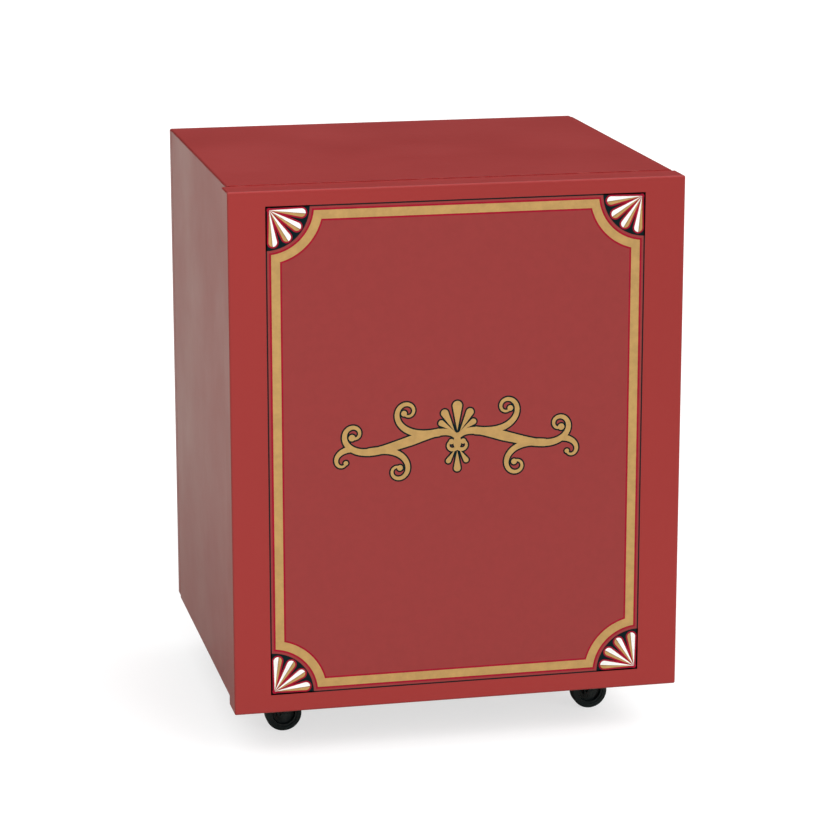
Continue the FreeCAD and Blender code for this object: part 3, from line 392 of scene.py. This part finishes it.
def level(share):
    """y of an ink layer's face, as a share of the whole print's thickness."""
    return PRINT_BACK - PRINT_DEPTH * share


FILM, LINES, SHADOWS, PETAL_EDGES, PETALS, TOP_INK = (
    level(share) for share in (0.3, 0.5, 0.6, 0.75, 0.88, 1.0))

# Each corner of the print, and the directions along x and z from it into the print.
CORNERS = {
    "low_left": (GRAPHIC_LOW[0], GRAPHIC_LOW[2], 1, 1),
    "low_right": (GRAPHIC_HIGH[0], GRAPHIC_LOW[2], -1, 1),
    "high_right": (GRAPHIC_HIGH[0], GRAPHIC_HIGH[2], -1, -1),
    "high_left": (GRAPHIC_LOW[0], GRAPHIC_HIGH[2], 1, -1),
}

KEYLINE = 1.8 * MM
CORNER_ARC = 56.7 * MM    # the corner arcs' radius at no inset; it grows with the inset
ARC_STEPS = 40

# Name, outer and inner inset from the print's edge in mm, and ink.
BANDS = (("outer_line", 4.5, 7.0, "crimson_ink"), ("gold_band", 7.0, 18.5, "gold_ink"),
         ("inner_line", 18.5, 20.8, "crimson_ink"))


def inset_rectangle(inset):
    """The print's rectangle, moved inwards."""
    low_x, low_z = GRAPHIC_LOW[0] + inset, GRAPHIC_LOW[2] + inset
    high_x, high_z = GRAPHIC_HIGH[0] - inset, GRAPHIC_HIGH[2] - inset
    return [(low_x, low_z), (high_x, low_z), (high_x, high_z), (low_x, high_z)]


def notched_loop(inset):
    """Rectangle at that inset whose corners are cut by arcs centred on the print's corners."""
    radius = inset + CORNER_ARC
    first = math.asin(inset / radius)
    loop = []
    for number, (x, z, right, up) in enumerate(CORNERS.values()):
        angles = [first + (math.pi / 2 - 2 * first) * n / ARC_STEPS for n in range(ARC_STEPS + 1)]
        if number % 2 == 0:
            angles.reverse()
        loop += [(x + right * radius * math.cos(a), z + up * radius * math.sin(a)) for a in angles]
    return loop


def make_print_frame():
    """Film, thin black line round it, and the gold band between two crimson lines."""
    mesh = bmesh.new()
    add_plate(mesh, inset_rectangle(0), PRINT_BACK, FILM)
    film = piece("print_film", mesh, "graphic")
    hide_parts("front_graphic")
    mesh = bmesh.new()
    add_ring(mesh, inset_rectangle(0), inset_rectangle(KEYLINE), FILM, LINES)
    piece("print_keyline", mesh, "black_ink")
    for name, outer, inner, material in BANDS:
        mesh = bmesh.new()
        add_ring(mesh, notched_loop(outer * MM), notched_loop(inner * MM), FILM, LINES)
        piece("print_" + name, mesh, material)


# ---------------------------------------------------------------- corner fans, in mm and degrees

FAN_RADIUS = 58
FAN_STEPS = 36
HUB = (5.0, 5.0)
HUB_RADIUS = 3.2
SHADOW_RADIUS = 31        # the dark maroon between the petals ends here
SHADOW_STEPS = 24
PETAL_ANGLES = (6, 32, 58, 84)
PETAL_LENGTH = 42.3
PETAL_RADIUS = 5.5
PETAL_EDGE = 2.1
DIVISION = -7             # direction, from a petal's axis, of the line between white and gold
SHADE_WIDTH = 9           # of the brown line beside it

FAN_INKS = {"ground": "black_ink", "shadow": "maroon_ink", "edges": "crimson_ink",
            "white": "white_ink", "gold": "gold_ink", "brown": "brown_ink"}


def make_fan(name, corner_x, corner_z, right, up):
    """Quarter fan of four petals, each white above and gold below, on black."""
    def placed(outline):
        """An outline in mm from the print's corner, put in its place in metres."""
        return [(corner_x + right * x * MM, corner_z + up * z * MM) for x, z in outline]

    def part_of_petal(angle, low, high):
        """A petal's part between two directions; the lower one stays below in every corner."""
        if up < 0:
            low, high = -high, -low
        return placed(teardrop(HUB, angle, PETAL_LENGTH, PETAL_RADIUS, low=low, high=high))

    layers = {layer: bmesh.new() for layer in FAN_INKS}
    ground = sector((0, 0), FAN_RADIUS, 0, 90, FAN_STEPS)
    add_plate(layers["ground"], placed(ground), FILM, LINES)
    shadow = sector(HUB, SHADOW_RADIUS, PETAL_ANGLES[0], PETAL_ANGLES[-1], SHADOW_STEPS)
    add_plate(layers["shadow"], placed(shadow), LINES, SHADOWS)
    edges = [placed(disc(HUB, HUB_RADIUS))]
    for degrees in PETAL_ANGLES:
        angle = math.radians(degrees)
        edges.append(placed(teardrop(HUB, angle, PETAL_LENGTH, PETAL_RADIUS, PETAL_EDGE)))
        add_plate(layers["white"], part_of_petal(angle, DIVISION, 90), PETAL_EDGES, PETALS)
        add_plate(layers["gold"], part_of_petal(angle, -90, DIVISION), PETAL_EDGES, PETALS)
        brown = part_of_petal(angle, DIVISION - SHADE_WIDTH, DIVISION)
        add_plate(layers["brown"], brown, PETALS, TOP_INK)
    add_union(layers["edges"], edges, LINES, PETAL_EDGES)
    for layer, mesh in layers.items():
        piece(f"print_fan_{name}_{layer}", mesh, FAN_INKS[layer])


# ---------------------------------------------------------------- ornament, in mm from its middle

ORNAMENT_HEIGHT = 0.430   # metres from the floor to the ornament's middle
OUTLINE = 2.1             # width of the black line round the gold
CURL_STEPS = 90
TAPER = 0.9               # below 1, a stroke keeps its width longer

SCROLL_ROOT = (62, 4)
UPPER_BRANCH = 34         # step of the inner line where the upper one starts
LOWER_BRANCH = 36         # step of the outer line where the lower one starts
TIP_BRANCH = 50           # step of the outer line where the tip's curl starts

# The palmette's drops: tip, direction in degrees, length, radius.
DROPS = (((0, 14), 90, 34, 6.4), ((3.5, 13), 62, 29, 5.0), ((3.5, 13), 34, 22, 3.9),
         ((0, -13), -90, 24, 4.6), ((3, -12), -58, 17, 3.4))
KNOT_LEVEL, KNOT_WIDE, KNOT_TALL = 1, 5, 11    # the diamond between the drops; sizes are halves
KNOT_GROW_WIDE, KNOT_GROW_TALL = 1.2, 1.8      # how much more than the rest its corners grow


def curl(start, heading, length, first_bend, last_bend, power):
    """Line of points that bends ever more; heading in degrees, bends in radians per mm."""
    x, z = start
    angle = math.radians(heading)
    step = length / CURL_STEPS
    line = [start]
    for n in range(CURL_STEPS):
        way = (n + 0.5) / CURL_STEPS
        angle += (first_bend + (last_bend - first_bend) * way ** power) * step
        x += math.cos(angle) * step
        z += math.sin(angle) * step
        line.append((x, z))
    return line


def stroke(line, wide, narrow, grow):
    """Quadrilaterals along a line, whose half width narrows from wide to narrow."""
    last = len(line) - 1
    rims = []
    for n, (x, z) in enumerate(line):
        before, after = Vector(line[max(n - 1, 0)]), Vector(line[min(n + 1, last)])
        along = (after - before).normalized()
        half = narrow + (wide - narrow) * (1 - n / last) ** TAPER + grow
        left = (x - along.y * half, z + along.x * half)
        right = (x + along.y * half, z - along.x * half)
        rims.append((left, right))
    return [[a[0], a[1], b[1], b[0]] for a, b in zip(rims, rims[1:])]


def scroll_strokes():
    """The scroll's lines, each with its widest and narrowest half width and its end ball's radius."""
    outer = curl(SCROLL_ROOT, heading=-16, length=150, first_bend=0.0, last_bend=0.17, power=2.6)
    inner = curl(SCROLL_ROOT, heading=164, length=104, first_bend=0.0, last_bend=0.22, power=2.6)
    upper = curl(inner[UPPER_BRANCH], heading=-10, length=126,
                 first_bend=0.010, last_bend=0.17, power=2.2)
    lower = curl(outer[LOWER_BRANCH], heading=168, length=116,
                 first_bend=0.012, last_bend=0.17, power=2.2)
    tip = curl(outer[TIP_BRANCH], heading=-6, length=48,
               first_bend=-0.02, last_bend=-0.2, power=1.5)
    return ((outer, 6.4, 1.5, 4.4), (inner, 6.4, 1.4, 3.6), (upper, 5.2, 1.3, 3.8),
            (lower, 5.0, 1.3, 3.8), (tip, 4.2, 1.1, 3.0))


def ornament_shapes(grow):
    """Convex outlines of the right-hand scroll and the middle palmette's right half."""
    shapes = []
    for line, wide, narrow, ball in scroll_strokes():
        shapes += stroke(line, wide, narrow, grow)
        shapes.append(disc(line[-1], ball + grow))
    for tip_place, degrees, length, radius in DROPS:
        shapes.append(teardrop(tip_place, math.radians(degrees), length, radius, grow))
    half_wide = KNOT_WIDE + grow * KNOT_GROW_WIDE
    half_tall = KNOT_TALL + grow * KNOT_GROW_TALL
    shapes.append([(0, KNOT_LEVEL + half_tall), (half_wide, KNOT_LEVEL),
                   (0, KNOT_LEVEL - half_tall), (-half_wide, KNOT_LEVEL)])
    return shapes


ORNAMENT_LAYERS = (("outline", OUTLINE, FILM, LINES, "black_ink"),
                   ("gold", 0.0, LINES, PETAL_EDGES, "gold_ink"))


def make_ornament():
    """Gold scrolls with a black outline, the same on both sides of the panel's middle."""
    middle = (GRAPHIC_LOW[0] + GRAPHIC_HIGH[0]) / 2
    for name, grow, back, front, material in ORNAMENT_LAYERS:
        placed = []
        for shape in ornament_shapes(grow):
            for side in (1, -1):
                placed.append([(middle + side * x * MM, ORNAMENT_HEIGHT + z * MM) for x, z in shape])
        mesh = bmesh.new()
        add_union(mesh, placed, back, front)
        piece("print_ornament_" + name, mesh, material)


# ---------------------------------------------------------------- studio

FLOOR_HALF_SIZE = 12
FLOOR_SEEN = (0.42, 0.42, 0.42)
FLOOR_REFLECTED = (0.52, 0.52, 0.472)
FLOOR_GLOW = 0.66

LENS, SENSOR = 131.62, 36                  # mm
CAMERA_PLACE = (-0.9088, -4.1035, 1.4349)
CAMERA_TURNED, CAMERA_LOWERED = 12.613, 13.956


def make_floor():
    """Pale floor: nearly white as seen, and duller in what the enamel reflects."""
    mesh = bmesh.new()
    bmesh.ops.create_grid(mesh, x_segments=2, y_segments=2, size=FLOOR_HALF_SIZE)
    data = bpy.data.meshes.new("floor")
    mesh.to_mesh(data)
    mesh.free()
    finish = Finish("floor", FLOOR_SEEN, 0.8, specular=0.0)
    seen = finish.node("ShaderNodeLightPath").outputs["Is Camera Ray"]
    finish.colour(finish.blend(seen, FLOOR_REFLECTED, FLOOR_SEEN))
    finish.shader.inputs["Emission Color"].default_value = (1, 1, 1, 1)
    finish.link(finish.spread(seen, 0.0, FLOOR_GLOW), finish.shader, "Emission Strength")
    data.materials.append(finish.material)
    floor = bpy.data.objects.new("floor", data)
    bpy.context.scene.collection.objects.link(floor)


def place_light(light, direction):
    """Adds a light to the scene, turned so that it shines from that direction."""
    light.rotation_euler = Vector(direction).to_track_quat("Z", "Y").to_euler()
    bpy.context.scene.collection.objects.link(light)


def make_sun(name, direction, strength, width):
    """Wide soft light from a direction, with no highlight of its own; width in degrees."""
    data = bpy.data.lights.new(name, "SUN")
    data.energy = strength
    data.angle = math.radians(width)
    light = bpy.data.objects.new(name, data)
    light.visible_glossy = False
    place_light(light, direction)


def make_fill(name, place, target, size, power):
    """Square soft light at a place, aimed at a target."""
    data = bpy.data.lights.new(name, "AREA")
    data.size = size
    data.energy = power
    light = bpy.data.objects.new(name, data)
    light.location = place
    place_light(light, Vector(place) - Vector(target))


def make_world():
    """White behind the object; a softer, dimmer studio in what the surfaces reflect."""
    world = bpy.data.worlds.new("studio")
    world.use_nodes = True
    bpy.context.scene.world = world
    tree = world.node_tree
    shown = tree.nodes["Background"]
    shown.inputs["Color"].default_value = (1, 1, 1, 1)
    shown.inputs["Strength"].default_value = 1.0
    way = tree.nodes.new("ShaderNodeTexCoord")
    split = tree.nodes.new("ShaderNodeSeparateXYZ")
    tree.links.new(way.outputs["Generated"], split.inputs["Vector"])

    def glow(axis, start, end, low, high):
        """Brightness that changes from low to high between two heights along an axis."""
        made = tree.nodes.new("ShaderNodeMapRange")
        ends = (("From Min", start), ("From Max", end), ("To Min", low), ("To Max", high))
        for socket, value in ends:
            made.inputs[socket].default_value = value
        tree.links.new(split.outputs[axis], made.inputs["Value"])
        return made.outputs["Result"]

    overhead = glow("Z", start=0.34, end=0.80, low=0.04, high=1.45)
    in_front = glow("Y", start=-0.9, end=0.3, low=0.33, high=0.0)
    total = tree.nodes.new("ShaderNodeMath")
    total.operation = "ADD"
    tree.links.new(overhead, total.inputs[0])
    tree.links.new(in_front, total.inputs[1])
    studio = tree.nodes.new("ShaderNodeBackground")
    tree.links.new(total.outputs["Value"], studio.inputs["Strength"])
    path = tree.nodes.new("ShaderNodeLightPath")
    mix = tree.nodes.new("ShaderNodeMixShader")
    tree.links.new(path.outputs["Is Camera Ray"], mix.inputs["Fac"])
    tree.links.new(studio.outputs["Background"], mix.inputs[1])
    tree.links.new(shown.outputs["Background"], mix.inputs[2])
    tree.links.new(mix.outputs["Shader"], tree.nodes["World Output"].inputs["Surface"])


def make_camera():
    """Long lens, a little to the left of the front and above the top."""
    data = bpy.data.cameras.new("camera")
    data.lens = LENS
    data.sensor_width = SENSOR
    camera = bpy.data.objects.new("camera", data)
    camera.location = CAMERA_PLACE
    camera.rotation_euler = (math.radians(90 - CAMERA_LOWERED), 0, math.radians(-CAMERA_TURNED))
    bpy.context.scene.collection.objects.link(camera)
    bpy.context.scene.camera = camera


dress_nodes()
make_print_frame()
for corner_name, corner in CORNERS.items():
    make_fan(corner_name, *corner)
make_ornament()
make_floor()
make_world()
make_sun("key", direction=(0.5, -0.7, 0.5), strength=2.12, width=46)
make_sun("back", direction=(0.5, 0.7, 0.5), strength=0.7, width=46)
make_fill("fill", place=(-1.3, -1.5, 1.6), target=(-0.3, -0.28, 0.6), size=0.9, power=8)
make_camera()
bpy.context.scene.view_settings.view_transform = "Standard"
